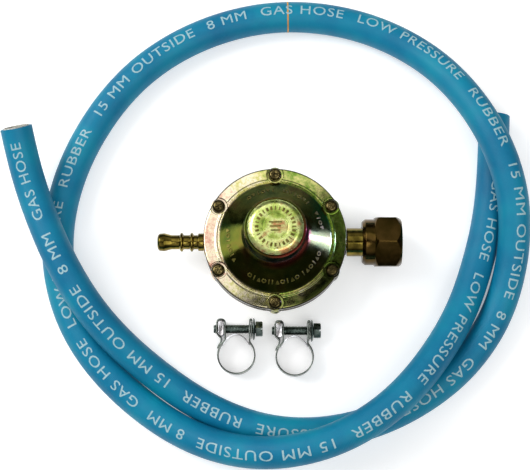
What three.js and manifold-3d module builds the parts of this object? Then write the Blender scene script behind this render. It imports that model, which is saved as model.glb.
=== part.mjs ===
// Low pressure propane regulator kit: regulator, two bolt type hose clamps and one length of gas hose.
// Units are millimetres and +Z is up. The origin is the centre of the regulator's flat base, and +X points
// along the inlet and out of the union nut.
import * as THREE from 'three';
import { mergeVertices } from 'three/addons/utils/BufferGeometryUtils.js';
import Module from 'manifold-3d';

const wasm = await Module();
wasm.setup();

// ---------------------------------------------------------------- driving dimensions

const GAP = 0.3; // clearance left between faces that touch

const FINE = 28; // sides of the large turned parts
const MEDIUM = 18; // sides of the barb, stem and nut
const COARSE = 10; // sides of screws, pins and other small parts

const PORT_Z = 15; // height of the inlet and outlet axis
const FLANGE_R = 33.5;
const FLANGE_SCREWS = 6;
const SCREW_PITCH_R = 30.5;
const SCREW_SHANK_R = 1.5;
const SCREW_HOLE_R = SCREW_SHANK_R + GAP;
const LOBE_R = 3.7; // lobe of the flange around each screw

const BODY_FLANGE_Z = [16.4, 20];
const CHAMBER_R = 25.5; // inside the clamped rim
const CHAMBER_FLOOR_Z = 3.5;
const DIAPHRAGM_T = 0.8;
const DIAPHRAGM_Z = BODY_FLANGE_Z[1] + GAP;
const COVER_Z = DIAPHRAGM_Z + DIAPHRAGM_T + GAP;
const POCKET_Z = 24; // floor of the screw pockets in the cover flange
const COVER_FLANGE_TOP = 24.8;

const TURRET_R = 14.1;
const TURRET_BORE_R = 11.5;
const TURRET_TOP = 48;
const CAP_R = 12.9;
const CAP_TOP = 50.5;

const STEM_R = 6.75;
const NUT_X = [41, 59.5];
const NUT_HEX_X = 46.8; // where the round collar turns into the hexagon
const NUT_ACROSS_FLATS = 23;
const NUT_TURN = THREE.MathUtils.degToRad(9); // resting angle of the nut about its axis
const NUT_THREAD_R = 9.4;

const SPIGOT_R = 4; // threaded end of the barb and of the stem inside the body bosses
const BOSS_R = 6.2;
const BOSS_INNER_X = 21;

const LEVER_PIVOT = [11.2, 8.5]; // x and z
const LEVER_PIN_R = 1;
const LEVER_TIP_Z = 13.7; // the long arm ends on the axis of the diaphragm stud
const LEVER_T = 2.4;

const PLATE_Z = DIAPHRAGM_Z + DIAPHRAGM_T + GAP;
const PLATE_T = 1;
const SPRING_LOW = PLATE_Z + PLATE_T + GAP;
const SPRING_WIRE_R = 0.8;
const SPRING_TURNS = 6;
const ADJUSTER_Z = [38.4, 43.6];

const HOSE_R = 7.5;
const HOSE_BORE_R = 4;
const HOSE_STEPS = 54;

const CLAMP_PLACES = [
  [-18.2, -52.5],
  [9.3, -53.3],
];
const CLAMP_TILT = THREE.MathUtils.degToRad(2.9); // the washer is wider than the band, so the clamp leans
const CLAMP_CENTRE_Z = 4.68;
const BAND_R = 8.7; // to the middle of the band
const BAND_T = 0.7;
const BAND_WIDTH = 8.4;
const CLAMP_SCREW_Y = 12.5; // the clamp's own frame has its origin at the middle of the ring
const CLAMP_SCREW_R = 2.15;
const NUT_POCKET_X = [-9.6, -5]; // outer faces of the folded ear that holds the nut
const EAR_X = [5.9, 7.6]; // outer faces of the doubled ear under the head
const EAR_TOP = 17.2;
const WASHER_T = 0.9;

// ---------------------------------------------------------------- geometry helpers

// Joins equal vertices, drops collapsed triangles and turns the faces outwards.
function weld(geometry) {
  const bare = geometry.clone();
  bare.deleteAttribute('normal');
  bare.deleteAttribute('uv');
  const merged = mergeVertices(bare, 1e-4);
  const position = merged.getAttribute('position');
  const source = merged.index.array;
  const [a, b, c] = [new THREE.Vector3(), new THREE.Vector3(), new THREE.Vector3()];
  const triangles = [];
  let volume = 0;
  for (let i = 0; i < source.length; i += 3) {
    const [p, q, r] = source.slice(i, i + 3);
    if (p === q || q === r || r === p) continue;
    triangles.push([p, q, r]);
    a.fromBufferAttribute(position, p);
    b.fromBufferAttribute(position, q);
    c.fromBufferAttribute(position, r);
    volume += a.dot(b.cross(c));
  }
  const outward = volume > 0 ? triangles : triangles.map(([p, q, r]) => [p, r, q]);
  merged.setIndex(outward.flat());
  return merged;
}

function solid(geometry) {
  const closed = weld(geometry);
  const vertProperties = new Float32Array(closed.getAttribute('position').array);
  const triVerts = new Uint32Array(closed.index.array);
  return new wasm.Manifold(new wasm.Mesh({ numProp: 3, vertProperties, triVerts }));
}

function geometryOf(manifold) {
  const { vertProperties, triVerts } = manifold.getMesh();
  const geometry = new THREE.BufferGeometry();
  geometry.setAttribute('position', new THREE.BufferAttribute(vertProperties, 3));
  geometry.setIndex(new THREE.BufferAttribute(triVerts, 1));
  return geometry;
}

function combine(added, removed = []) {
  let result = solid(added[0]);
  for (const geometry of added.slice(1)) result = result.add(solid(geometry));
  for (const geometry of removed) result = result.subtract(solid(geometry));
  return geometryOf(result);
}

// Revolves a profile of [radius, height] points about Z.
function turned(profile, sides) {
  const points = profile.map(([radius, height]) => new THREE.Vector2(radius, height));
  return new THREE.LatheGeometry(points, sides).rotateX(Math.PI / 2);
}

// Revolves a profile of [x, radius] points about the line y = 0, z = height.
function turnedX(profile, sides, height = 0) {
  const swapped = profile.map(([x, radius]) => [radius, x]);
  return turned(swapped, sides).rotateY(Math.PI / 2).translate(0, 0, height);
}

function rod(radius, low, high, sides) {
  return turned([[0, low], [radius, low], [radius, high], [0, high]], sides);
}

function rodX(radius, from, to, sides, height = 0) {
  return turnedX([[from, 0], [from, radius], [to, radius], [to, 0]], sides, height);
}

function ringX(inner, outer, from, to, sides, height = 0) {
  return turnedX([[from, inner], [from, outer], [to, outer], [to, inner], [from, inner]], sides, height);
}

// A box between two values of x, y and z.
function box(...spans) {
  const size = spans.map(([a, b]) => Math.abs(b - a));
  const middle = spans.map(([a, b]) => (a + b) / 2);
  return new THREE.BoxGeometry(...size).translate(...middle);
}

function corners(radius, sides) {
  return Array.from({ length: sides }, (_, i) => {
    const angle = (i * 2 * Math.PI) / sides;
    return new THREE.Vector2(radius * Math.cos(angle), radius * Math.sin(angle));
  });
}

// A hexagonal prism from z = 0 up, with a corner on +X.
function hexPrism(acrossFlats, depth) {
  const hexagon = new THREE.Shape(corners(acrossFlats / Math.sqrt(3), 6));
  return new THREE.ExtrudeGeometry(hexagon, { depth, bevelEnabled: false });
}

// A plate drawn in X and Z, centred on y = 0.
function plateXZ(shape, thickness, curveSegments = 6) {
  const geometry = new THREE.ExtrudeGeometry(shape, { depth: thickness, bevelEnabled: false, curveSegments });
  return geometry.rotateX(Math.PI / 2).translate(0, thickness / 2, 0);
}

function roundShape(x, z, radius) {
  return new THREE.Shape().absarc(x, z, radius, 0, 2 * Math.PI);
}

function polygon(points) {
  return new THREE.Shape(points.map(([x, y]) => new THREE.Vector2(x, y)));
}

function rectangle([x0, x1], [y0, y1]) {
  return polygon([[x0, y0], [x1, y0], [x1, y1], [x0, y1]]);
}

function screwAngles() {
  return Array.from({ length: FLANGE_SCREWS }, (_, i) => Math.PI / 2 + (i * 2 * Math.PI) / FLANGE_SCREWS);
}

// Lays a shape made along Z on the lever's pivot line.
function alongPivot(geometry) {
  return geometry.rotateX(Math.PI / 2).translate(LEVER_PIVOT[0], 0, LEVER_PIVOT[1]);
}

function atScrew(geometry, angle) {
  return geometry.translate(SCREW_PITCH_R * Math.cos(angle), SCREW_PITCH_R * Math.sin(angle), 0);
}

// ---------------------------------------------------------------- materials

function finish(color, roughness, metalness) {
  return new THREE.MeshStandardMaterial({ color, roughness, metalness });
}

const yellowZinc = finish(0xb8b066, 0.35, 0.9);
const darkZinc = finish(0x6e6226, 0.3, 0.9);
const brass = finish(0x8c6a2c, 0.35, 0.9);
const bronzeScrew = finish(0x54503c, 0.4, 0.9);
const steel = finish(0xc4c8cc, 0.3, 0.9);
const greenSteel = finish(0x5f6a62, 0.35, 0.9);
const rubberBlack = finish(0x1c1c1e, 0.8, 0);
const rubberBlue = finish(0x1f96b8, 0.55, 0);
const plastic = finish(0xd9d6cc, 0.5, 0);

function part(name, geometry, material) {
  const mesh = new THREE.Mesh(weld(geometry), material);
  mesh.name = name;
  return mesh;
}

// ---------------------------------------------------------------- regulator: castings

function bodyCasing() {
  const bowl = turned([
    [0, 0],
    [15, 0],
    [18, 1],
    [26, 7],
    [28.6, 12],
    [28.6, BODY_FLANGE_Z[0]],
    [FLANGE_R, BODY_FLANGE_Z[0]],
    [FLANGE_R, BODY_FLANGE_Z[1]],
    [CHAMBER_R, BODY_FLANGE_Z[1]],
    [CHAMBER_R, 12.5],
    [23.2, 8.4],
    [17, CHAMBER_FLOOR_Z],
    [0, CHAMBER_FLOOR_Z],
  ], FINE);
  const added = [bowl];
  const removed = [];
  for (const angle of screwAngles()) {
    added.push(atScrew(rod(LOBE_R, ...BODY_FLANGE_Z, COARSE), angle));
    removed.push(atScrew(rod(SCREW_HOLE_R, BODY_FLANGE_Z[0] - 1, BODY_FLANGE_Z[1] + 1, COARSE), angle));
  }
  for (const side of [-1, 1]) {
    const inner = side * BOSS_INNER_X;
    const outer = side * FLANGE_R;
    const aboveFlange = [BODY_FLANGE_Z[1], PORT_Z + BOSS_R + 1];
    added.push(rodX(BOSS_R, inner, outer, MEDIUM, PORT_Z));
    removed.push(rodX(SPIGOT_R + GAP, inner - side, outer + side, MEDIUM, PORT_Z));
    removed.push(box([inner - side, outer + side], [-BOSS_R, BOSS_R], aboveFlange));
    added.push(box([9.2, 13.2], [side * 3.2, side * 5.6], [2, 17.6])); // post beside the lever
  }
  removed.push(alongPivot(rod(LEVER_PIN_R + GAP, -7, 7, COARSE)));
  return combine(added, removed);
}

function coverCasing() {
  const outside = [
    [FLANGE_R, COVER_Z],
    [FLANGE_R, COVER_FLANGE_TOP],
    [27.8, COVER_FLANGE_TOP],
    [27.2, 25.6],
    [26.3, 25.6],
    [24.5, 27.8],
    [20.5, 31.6],
    [TURRET_R + 1.5, 34.8],
    [TURRET_R, 36.5],
    [TURRET_R, TURRET_TOP - 0.6],
    [TURRET_R - 0.5, TURRET_TOP],
  ];
  const inside = [
    [CAP_R + GAP, TURRET_TOP],
    [CAP_R + GAP, TURRET_TOP - 2.2],
    [TURRET_BORE_R, TURRET_TOP - 2.2],
    [TURRET_BORE_R, 34],
    [18.8, 30.2],
    [23, 26],
    [CHAMBER_R, 23.4],
    [CHAMBER_R, COVER_Z],
    [FLANGE_R, COVER_Z],
  ];
  const added = [turned([...outside, ...inside], FINE)];
  const removed = [];
  for (const angle of screwAngles()) {
    added.push(atScrew(rod(LOBE_R, COVER_Z, POCKET_Z, COARSE), angle));
    removed.push(atScrew(rod(LOBE_R + 0.4, POCKET_Z, COVER_FLANGE_TOP + 1, COARSE), angle));
    removed.push(atScrew(rod(SCREW_HOLE_R, COVER_Z - 1, POCKET_Z + 1, COARSE), angle));
  }
  const vent = rod(0.9, TURRET_BORE_R - 1, TURRET_R + 2, 10).rotateX(-Math.PI / 2);
  removed.push(vent.translate(0, 0, 38.5));
  return combine(added, removed);
}

function sealCap() {
  return turned([
    [0, CAP_TOP],
    [9.5, CAP_TOP - 0.15],
    [11.8, CAP_TOP - 0.7],
    [CAP_R, CAP_TOP - 1.7],
    [CAP_R, TURRET_TOP - 2.2 + GAP],
    [TURRET_BORE_R - GAP, TURRET_TOP - 2.2 + GAP],
    [TURRET_BORE_R - GAP, TURRET_TOP - 4],
    [TURRET_BORE_R - 1.8, TURRET_TOP - 4],
    [TURRET_BORE_R - 1.8, TURRET_TOP - 1],
    [0, TURRET_TOP - 1],
  ], FINE);
}

function flangeScrew(angle) {
  const turnedPart = turned([
    [0, 17],
    [SCREW_SHANK_R, 17],
    [SCREW_SHANK_R, POCKET_Z + GAP],
    [3, POCKET_Z + GAP],
    [3, POCKET_Z + 1.4],
    [2.2, POCKET_Z + 2.2],
    [0, POCKET_Z + 2.4],
  ], COARSE);
  const slot = box([-4, 4], [-0.4, 0.4], [POCKET_Z + 1.4, POCKET_Z + 4]);
  const slotTurn = angle * 5; // each slot was left at its own angle
  return atScrew(combine([turnedPart], [slot]).rotateZ(slotTurn), angle);
}

// ---------------------------------------------------------------- regulator: outlet and inlet

function hoseBarb() {
  const rings = [-44.1, -39.3];
  const stem = 3.4;
  const bulge = 4.5;
  const shoulder = -FLANGE_R - GAP; // a collar stands off the body here
  const outline = [
    [-55.4, 3.1],
    [-55, 3.6],
    [-53.6, 4.2],
    [-51, 4.3],
    [-48.6, stem],
  ];
  for (const x of rings) outline.push([x - 1.1, stem], [x - 0.4, bulge], [x + 0.4, bulge], [x + 1.1, stem]);
  outline.push([-36.4, stem], [-36, 4.2], [shoulder, 4.2], [shoulder, SPIGOT_R], [-26, SPIGOT_R]);
  const bore = [[-26, 2.4], [-55.4, 2.4]];
  return turnedX([...outline, ...bore, outline[0]], MEDIUM, PORT_Z);
}

function inletStem() {
  return turnedX([
    [20.5, SPIGOT_R],
    [FLANGE_R + GAP, SPIGOT_R],
    [FLANGE_R + GAP, STEM_R],
    [NUT_X[0] + 2.8 + GAP, STEM_R],
    [NUT_X[0] + 2.8 + GAP, 9],
    [47.2, 9],
    [47.2, 5],
    [50, 5],
    [50.4, 4.6],
    [50.4, 3.6],
    [44, 3.6],
    [44, 2.6],
    [20.5, 2.6],
    [20.5, SPIGOT_R],
  ], MEDIUM, PORT_Z);
}

function unionNut() {
  const hexCorner = NUT_ACROSS_FLATS / Math.sqrt(3);
  const hexLength = NUT_X[1] - NUT_HEX_X;
  const prism = hexPrism(NUT_ACROSS_FLATS, hexLength).rotateY(Math.PI / 2).translate(NUT_HEX_X, 0, 0);
  const chamfer = turnedX([
    [NUT_X[0], 0],
    [NUT_X[0], 9.6],
    [NUT_X[0] + 1.4, 10.9],
    [NUT_HEX_X, 10.9],
    [NUT_HEX_X, 11.4],
    [NUT_HEX_X + 1.9, hexCorner + 0.1],
    [NUT_X[1] - 1.5, hexCorner + 0.1],
    [NUT_X[1], 11.2],
    [NUT_X[1], 0],
  ], FINE);
  const collar = rodX(10.9, NUT_X[0], NUT_HEX_X + 0.5, FINE);
  const bores = [
    rodX(STEM_R + GAP, NUT_X[0] - 1, NUT_X[0] + 4, MEDIUM),
    turnedX([
      [NUT_X[0] + 2.8, 0],
      [NUT_X[0] + 2.8, NUT_THREAD_R],
      [NUT_X[1] - 0.5, NUT_THREAD_R],
      [NUT_X[1] + 0.5, NUT_THREAD_R + 1],
      [NUT_X[1] + 0.5, 0],
    ], FINE),
  ];
  const outside = solid(prism).add(solid(collar)).intersect(solid(chamfer));
  const nut = bores.reduce((shape, bore) => shape.subtract(solid(bore)), outside);
  return geometryOf(nut).rotateX(NUT_TURN).translate(0, 0, PORT_Z);
}

function inletFilter() {
  return turnedX([[44.3, 0], [44.3, 3.2], [49.4, 3.2], [49.8, 2.6], [49.8, 0]], COARSE, PORT_Z);
}

// ---------------------------------------------------------------- regulator: inlet valve and lever

function lever() {
  const [px, pz] = LEVER_PIVOT;
  const shapes = [
    polygon([[0, 12.9], [4, 12.9], [px - 1.2, pz - 1], [px + 0.4, pz + 0.8], [4.9, 14.5], [0, 14.5]]),
    rectangle([px - 0.8, px + 0.8], [pz, PORT_Z]),
    roundShape(0, LEVER_TIP_Z, 1.2),
    roundShape(px, PORT_Z, 1.3),
    roundShape(px, pz, 2.4),
  ];
  const hole = plateXZ(roundShape(px, pz, LEVER_PIN_R + GAP), 4);
  return combine(shapes.map((shape) => plateXZ(shape, LEVER_T)), [hole]);
}

function valveHolder() {
  const barrel = turnedX([
    [8.6, 0],
    [8.6, 2.8],
    [14.6, 2.8],
    [14.6, 2.2 + GAP],
    [13.6, 2.2 + GAP],
    [13.6, 0],
  ], COARSE, PORT_Z);
  const slot = box([9.6, 12.8], [-1.5, 1.5], [PORT_Z - 4, PORT_Z + 1.6]);
  return combine([barrel], [slot]);
}

function valvePad() {
  return rodX(2.2, 13.9, 15, COARSE, PORT_Z);
}

function valveOrifice() {
  return turnedX([
    [16.4, 0.9],
    [16.4, 1.6],
    [17.2, 2.2],
    [17.2, 3.8],
    [20.2, 3.8],
    [20.2, 2.3],
    [25, 2.3],
    [25, 0.9],
    [16.4, 0.9],
  ], COARSE, PORT_Z);
}

// ---------------------------------------------------------------- regulator: diaphragm and spring

function diaphragm() {
  const low = DIAPHRAGM_Z;
  const high = DIAPHRAGM_Z + DIAPHRAGM_T;
  const rise = 1.6; // height of the convolution
  const disc = turned([
    [2.5, low],
    [18.6, low],
    [20, low + rise],
    [22.6, low + rise],
    [24.2, low],
    [33, low],
    [33, high],
    [23.6, high],
    [22.2, high + rise],
    [20.4, high + rise],
    [19, high],
    [2.5, high],
    [2.5, low],
  ], FINE);
  const holes = screwAngles().map((angle) => atScrew(rod(SCREW_HOLE_R, low - 1, high + 1, COARSE), angle));
  return combine([disc], holes);
}

function diaphragmPlate() {
  return turned([
    [2.5, PLATE_Z],
    [17, PLATE_Z],
    [17.8, PLATE_Z + 0.8],
    [17.8, PLATE_Z + 2],
    [16.8, PLATE_Z + 2],
    [16.8, PLATE_Z + PLATE_T],
    [2.5, PLATE_Z + PLATE_T],
    [2.5, PLATE_Z],
  ], FINE);
}

function diaphragmStud() {
  const under = DIAPHRAGM_Z - GAP;
  const over = PLATE_Z + PLATE_T + GAP;
  const post = turned([
    [0, 10.4],
    [2.2, 10.4],
    [2.2, under - 1],
    [5, under - 1],
    [5, under],
    [2.2, under],
    [2.2, over],
    [4, over],
    [4, over + 0.8],
    [3, over + 1.4],
    [0, over + 1.4],
  ], COARSE);
  const slot = box([-3, 3], [-1.5, 1.5], [LEVER_TIP_Z - 1.5, LEVER_TIP_Z + 1.5]);
  return combine([post], [slot]);
}

class Helix extends THREE.Curve {
  constructor(radius, low, high, turns) {
    super();
    Object.assign(this, { radius, low, high, turns });
  }

  getPoint(t, target = new THREE.Vector3()) {
    const angle = 2 * Math.PI * this.turns * t;
    const height = this.low + (this.high - this.low) * t;
    return target.set(this.radius * Math.cos(angle), this.radius * Math.sin(angle), height);
  }
}

function calibrationSpring() {
  const ends = [SPRING_LOW + SPRING_WIRE_R, ADJUSTER_Z[0] - GAP - SPRING_WIRE_R];
  const extrudePath = new Helix(7, ...ends, SPRING_TURNS);
  const section = new THREE.Shape(corners(SPRING_WIRE_R, 5));
  return new THREE.ExtrudeGeometry(section, { steps: 10 * SPRING_TURNS, extrudePath });
}

function springAdjuster() {
  const disc = rod(TURRET_BORE_R - GAP, ...ADJUSTER_Z, MEDIUM);
  const socket = hexPrism(8, 8).translate(0, 0, ADJUSTER_Z[0] - 1);
  return combine([disc], [socket]);
}

// ---------------------------------------------------------------- regulator

function regulator() {
  const group = new THREE.Group();
  group.add(
    part('body_casing', bodyCasing(), yellowZinc),
    part('cover', coverCasing(), yellowZinc),
    part('seal_cap', sealCap(), yellowZinc),
    part('hose_barb', hoseBarb(), darkZinc),
    part('inlet_stem', inletStem(), darkZinc),
    part('union_nut', unionNut(), brass),
    part('inlet_seal', ringX(5 + GAP, 8.7, 47.2 + GAP, 50, MEDIUM, PORT_Z), rubberBlack),
    part('inlet_filter', inletFilter(), brass),
    part('valve_orifice', valveOrifice(), brass),
    part('valve_holder', valveHolder(), brass),
    part('valve_pad', valvePad(), rubberBlack),
    part('lever', lever(), steel),
    part('lever_pin', alongPivot(rod(LEVER_PIN_R, -5.4, 5.4, COARSE)), steel),
    part('diaphragm', diaphragm(), rubberBlack),
    part('diaphragm_plate', diaphragmPlate(), steel),
    part('diaphragm_stud', diaphragmStud(), brass),
    part('calibration_spring', calibrationSpring(), steel),
    part('spring_adjuster', springAdjuster(), plastic),
  );
  screwAngles().forEach((angle, i) => {
    group.add(part(`flange_screw_${i + 1}`, flangeScrew(angle), bronzeScrew));
  });
  return group;
}

// ---------------------------------------------------------------- hose clamps, each in its own frame
// The ring's axis is Z, the screw lies along X above the ring, and its head is at +X.

// A strip of band material drawn in X and Y and extruded over the band's width.
function strip(shape, width = BAND_WIDTH) {
  const geometry = new THREE.ExtrudeGeometry(shape, { depth: width, bevelEnabled: false, curveSegments: 20 });
  return geometry.translate(0, 0, -width / 2);
}

// An arc of strip between two angles, in degrees from +X.
function arcStrip(radius, thickness, from, to, width) {
  const [start, end] = [from, to].map(THREE.MathUtils.degToRad);
  const shape = new THREE.Shape();
  shape.absarc(0, 0, radius + thickness / 2, start, end, false);
  shape.absarc(0, 0, radius - thickness / 2, end, start, true);
  return strip(shape, width);
}

function clampBand() {
  const t = BAND_T;
  const [nutLeft, nutRight] = NUT_POCKET_X;
  const [earLeft, earRight] = EAR_X;
  const added = [
    arcStrip(BAND_R, t, 127, 406, BAND_WIDTH),
    strip(rectangle([nutRight - t, nutRight], [6.6, EAR_TOP])),
    strip(rectangle([nutLeft, nutRight], [EAR_TOP - t, EAR_TOP])),
    strip(rectangle([nutLeft, nutLeft + t], [9.6, EAR_TOP])),
    strip(rectangle([earLeft, earLeft + t], [6, EAR_TOP])),
    strip(rectangle([earLeft, earRight], [EAR_TOP - t, EAR_TOP])),
    strip(rectangle([earRight - t, earRight], [8, EAR_TOP])),
  ];
  const hole = rodX(CLAMP_SCREW_R + GAP + 0.1, -12, 12, COARSE).translate(0, CLAMP_SCREW_Y, 0);
  return combine(added, [hole]);
}

function clampBridge() {
  return arcStrip(BAND_R - BAND_T / 2 - GAP - 0.25, 0.5, 38, 146, BAND_WIDTH - 1.4);
}

function clampNut() {
  const wall = BAND_T + GAP;
  const body = box([NUT_POCKET_X[0] + wall, NUT_POCKET_X[1] - wall], [9, EAR_TOP - wall], [-3.7, 3.7]);
  const hole = rodX(CLAMP_SCREW_R + GAP, -12, 0, COARSE).translate(0, CLAMP_SCREW_Y, 0);
  return combine([body], [hole]);
}

function clampWasher() {
  const face = EAR_X[1] + GAP;
  return ringX(CLAMP_SCREW_R + GAP, 5.3, face, face + WASHER_T, MEDIUM).translate(0, CLAMP_SCREW_Y, 0);
}

function clampScrew() {
  const headFrom = EAR_X[1] + WASHER_T + 2 * GAP;
  const headTo = headFrom + 3.3;
  const tip = -10.8;
  const shank = turnedX([
    [tip, 0],
    [tip, CLAMP_SCREW_R - 0.5],
    [tip + 0.5, CLAMP_SCREW_R],
    [headFrom + 0.5, CLAMP_SCREW_R],
    [headFrom + 0.5, 0],
  ], COARSE);
  const head = hexPrism(6.8, headTo - headFrom).rotateY(Math.PI / 2).translate(headFrom, 0, 0);
  const slot = box([headTo - 1, headTo + 1], [-0.5, 0.5], [-5, 5]);
  return combine([shank, head], [slot]).translate(0, CLAMP_SCREW_Y, 0);
}

function hoseClamp(number) {
  const [x, y] = CLAMP_PLACES[number - 1];
  const group = new THREE.Group();
  group.add(
    part(`clamp_${number}_band`, clampBand(), steel),
    part(`clamp_${number}_bridge`, clampBridge(), steel),
    part(`clamp_${number}_nut`, clampNut(), steel),
    part(`clamp_${number}_washer`, clampWasher(), steel),
    part(`clamp_${number}_screw`, clampScrew(), greenSteel),
  );
  group.position.set(x, y, CLAMP_CENTRE_Z);
  group.rotation.x = CLAMP_TILT;
  return group;
}

// ---------------------------------------------------------------- gas hose

// Control points of the hose's centreline, from one bare end to the other. It lies on the surface, climbs over
// itself in three long humps, and its first end sticks up off the last of them.
const HOSE_ROUTE = [
  [-121.5, 51.5, 32],
  [-117.5, 32, 24],
  [-110, 11, 23.5],
  [-100, -11.5, 24.5],
  [-86.5, -33.5, 21],
  [-70, -51, 15.5],
  [-51, -66, 10.5],
  [-31, -79, 8],
  [-4, -89.5, 7.5],
  [27, -90, 7.5],
  [56.5, -81, 7.5],
  [82, -64.5, 7.5],
  [97.5, -47, 7.5],
  [107.5, -29, 8],
  [113, -7, 14],
  [113.5, 15.5, 21],
  [109, 37, 24],
  [99.5, 59, 23.5],
  [85, 82, 17],
  [64.5, 101, 9.5],
  [36, 113.5, 7.5],
  [0.5, 117, 7.5],
  [-35, 108, 7.5],
  [-66, 89, 7.5],
  [-87.5, 61.5, 7.5],
  [-101.5, 30, 7.5],
  [-105.5, -2.5, 7.5],
  [-98.5, -33.5, 7.5],
  [-82.5, -58.5, 7.5],
  [-60.5, -78.5, 7.5],
  [-38, -92.5, 10.5],
  [-12.5, -100, 18.5],
  [12.5, -98.5, 23.5],
  [35.5, -90.5, 24],
  [56.5, -76, 23.5],
  [73, -57, 19.5],
  [87.5, -34.5, 12.5],
  [96.5, -10.5, 8],
  [104.5, 19, 7.5],
  [107, 64, 7.5],
];

// A uniform cubic B-spline that starts and ends on its first and last control point.
class SmoothRoute extends THREE.Curve {
  constructor(points) {
    super();
    const inner = points.map((point) => new THREE.Vector3(...point));
    const before = inner[0].clone().multiplyScalar(2).sub(inner[1]);
    const after = inner.at(-1).clone().multiplyScalar(2).sub(inner.at(-2));
    this.points = [before, ...inner, after];
  }

  getPoint(t, target = new THREE.Vector3()) {
    const spans = this.points.length - 3;
    const span = Math.min(Math.floor(t * spans), spans - 1);
    const u = t * spans - span;
    const weights = [
      (1 - u) ** 3,
      3 * u ** 3 - 6 * u ** 2 + 4,
      -3 * u ** 3 + 3 * u ** 2 + 3 * u + 1,
      u ** 3,
    ];
    target.set(0, 0, 0);
    weights.forEach((weight, i) => target.addScaledVector(this.points[span + i], weight / 6));
    return target;
  }
}

function gasHose() {
  const section = new THREE.Shape(corners(HOSE_R, 10));
  section.holes.push(new THREE.Path(corners(HOSE_BORE_R, 8)));
  return new THREE.ExtrudeGeometry(section, { steps: HOSE_STEPS, extrudePath: new SmoothRoute(HOSE_ROUTE) });
}

// ---------------------------------------------------------------- the kit

const kit = new THREE.Group();
kit.add(regulator(), hoseClamp(1), hoseClamp(2), part('gas_hose', gasHose(), rubberBlue));

export default kit;
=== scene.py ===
"""Looks of the propane regulator kit: a regulator, two hose clamps and a loose gas hose.

Sizes are in millimetres and are turned into metres when a mesh is made. The frame is the CAD model's: +Z is
up, the origin is the centre of the regulator's base, and +X points out of the union nut.
"""

import itertools
import math

import bmesh
import bpy
import numpy as np
from mathutils import Euler, Matrix, Vector


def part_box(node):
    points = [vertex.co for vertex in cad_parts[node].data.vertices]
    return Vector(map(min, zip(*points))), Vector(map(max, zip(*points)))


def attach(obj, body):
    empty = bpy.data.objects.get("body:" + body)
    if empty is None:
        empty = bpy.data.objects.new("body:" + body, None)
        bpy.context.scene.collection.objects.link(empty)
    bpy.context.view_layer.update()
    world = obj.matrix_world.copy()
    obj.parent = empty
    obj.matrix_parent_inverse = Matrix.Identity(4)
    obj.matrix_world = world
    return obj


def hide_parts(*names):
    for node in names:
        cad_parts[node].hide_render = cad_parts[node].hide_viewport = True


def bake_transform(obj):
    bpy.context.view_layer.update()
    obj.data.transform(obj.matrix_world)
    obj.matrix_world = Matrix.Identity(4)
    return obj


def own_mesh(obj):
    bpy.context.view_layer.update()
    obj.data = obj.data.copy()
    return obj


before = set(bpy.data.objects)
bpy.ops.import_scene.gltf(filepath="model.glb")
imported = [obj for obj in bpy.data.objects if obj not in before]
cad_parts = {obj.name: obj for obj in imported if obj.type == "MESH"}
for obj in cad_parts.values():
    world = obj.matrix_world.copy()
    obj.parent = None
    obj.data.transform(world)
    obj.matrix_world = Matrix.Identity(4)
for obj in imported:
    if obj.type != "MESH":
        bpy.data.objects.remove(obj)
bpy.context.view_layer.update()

MM = 0.001
UP = Vector((0, 0, 1))
Z_TO_X = Matrix.Rotation(math.pi / 2, 4, "Y")

# ---- sizes shared with the CAD solids

PORT_Z = 15  # height of the inlet and outlet axis
PORT_BORE_R = 4.3
FLANGE_R = 33.5
FLANGE_SCREWS = 6
SCREW_PITCH_R = 30.5
SCREW_HOLE_R = 1.8
LOBE_R = 3.7
POCKET_R = 4.1
CHAMBER_R = 25.5
BODY_FLANGE_Z = (16.4, 20)
COVER_Z = 21.4
POCKET_Z = 24
COVER_FLANGE_TOP = 24.8
DOME_LOW = (26.3, 25.6)  # radius and height at the foot of the dome
DOME_TOP = (15.6, 34.8)
TURRET_R = 14.1
TURRET_TOP = 48
CAP_R = 12.9
CAP_TOP = 50.5
STEM_R = 6.75
NUT_X = (41, 59.5)
NUT_HEX_X = 46.8
NUT_ACROSS_FLATS = 23
NUT_COLLAR_R = 10.9
NUT_TURN = math.radians(9)
NUT_THREAD_R = 9.4
NUT_THREAD_PITCH = 1.81  # 14 to the inch, left hand

HOSE_R = 7.5
HOSE_BORE_R = 4

BAND_R = 8.7
BAND_T = 0.7
BAND_WIDTH = 8.4
CLAMP_TILT = math.radians(2.9)
CLAMP_SCREW_Y = 12.5
CLAMP_SCREW_R = 2.15
CLAMP_SCREW_PITCH = 0.7
CLAMP_SCREW_X = (-10.8, 12.4)  # tip and head
CLAMP_HEAD_ACROSS_FLATS = 6.8
NUT_POCKET_X = (-9.6, -5)
EAR_X = (5.9, 7.6)
EAR_TOP = 17.2


# ---- mesh helpers


def tidy(mesh):
    """Welds points less than a micrometre apart and drops edges that no face uses."""
    work = bmesh.new()
    work.from_mesh(mesh)
    bmesh.ops.remove_doubles(work, verts=work.verts, dist=0.001 * MM)
    bmesh.ops.dissolve_degenerate(work, edges=work.edges, dist=0.001 * MM)
    loose = [edge for edge in work.edges if not edge.link_faces]
    bmesh.ops.delete(work, geom=loose, context="EDGES")
    bmesh.ops.recalc_face_normals(work, faces=work.faces)
    work.to_mesh(mesh)
    work.free()


def new_object(name, data):
    """Puts data in the scene as an object."""
    obj = bpy.data.objects.new(name, data)
    bpy.context.scene.collection.objects.link(obj)
    return obj


def from_work(name, work):
    """An object made of a bmesh, which is used up."""
    mesh = bpy.data.meshes.new(name)
    work.to_mesh(mesh)
    work.free()
    return new_object(name, mesh)


def build(name, points, faces, smooth=35):
    """An object from points in millimetres, with edges over smooth degrees left sharp."""
    mesh = bpy.data.meshes.new(name)
    mesh.from_pydata([tuple(c * MM for c in p) for p in points], [], faces)
    tidy(mesh)
    obj = new_object(name, mesh)
    shade(obj, smooth)
    return obj


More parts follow.
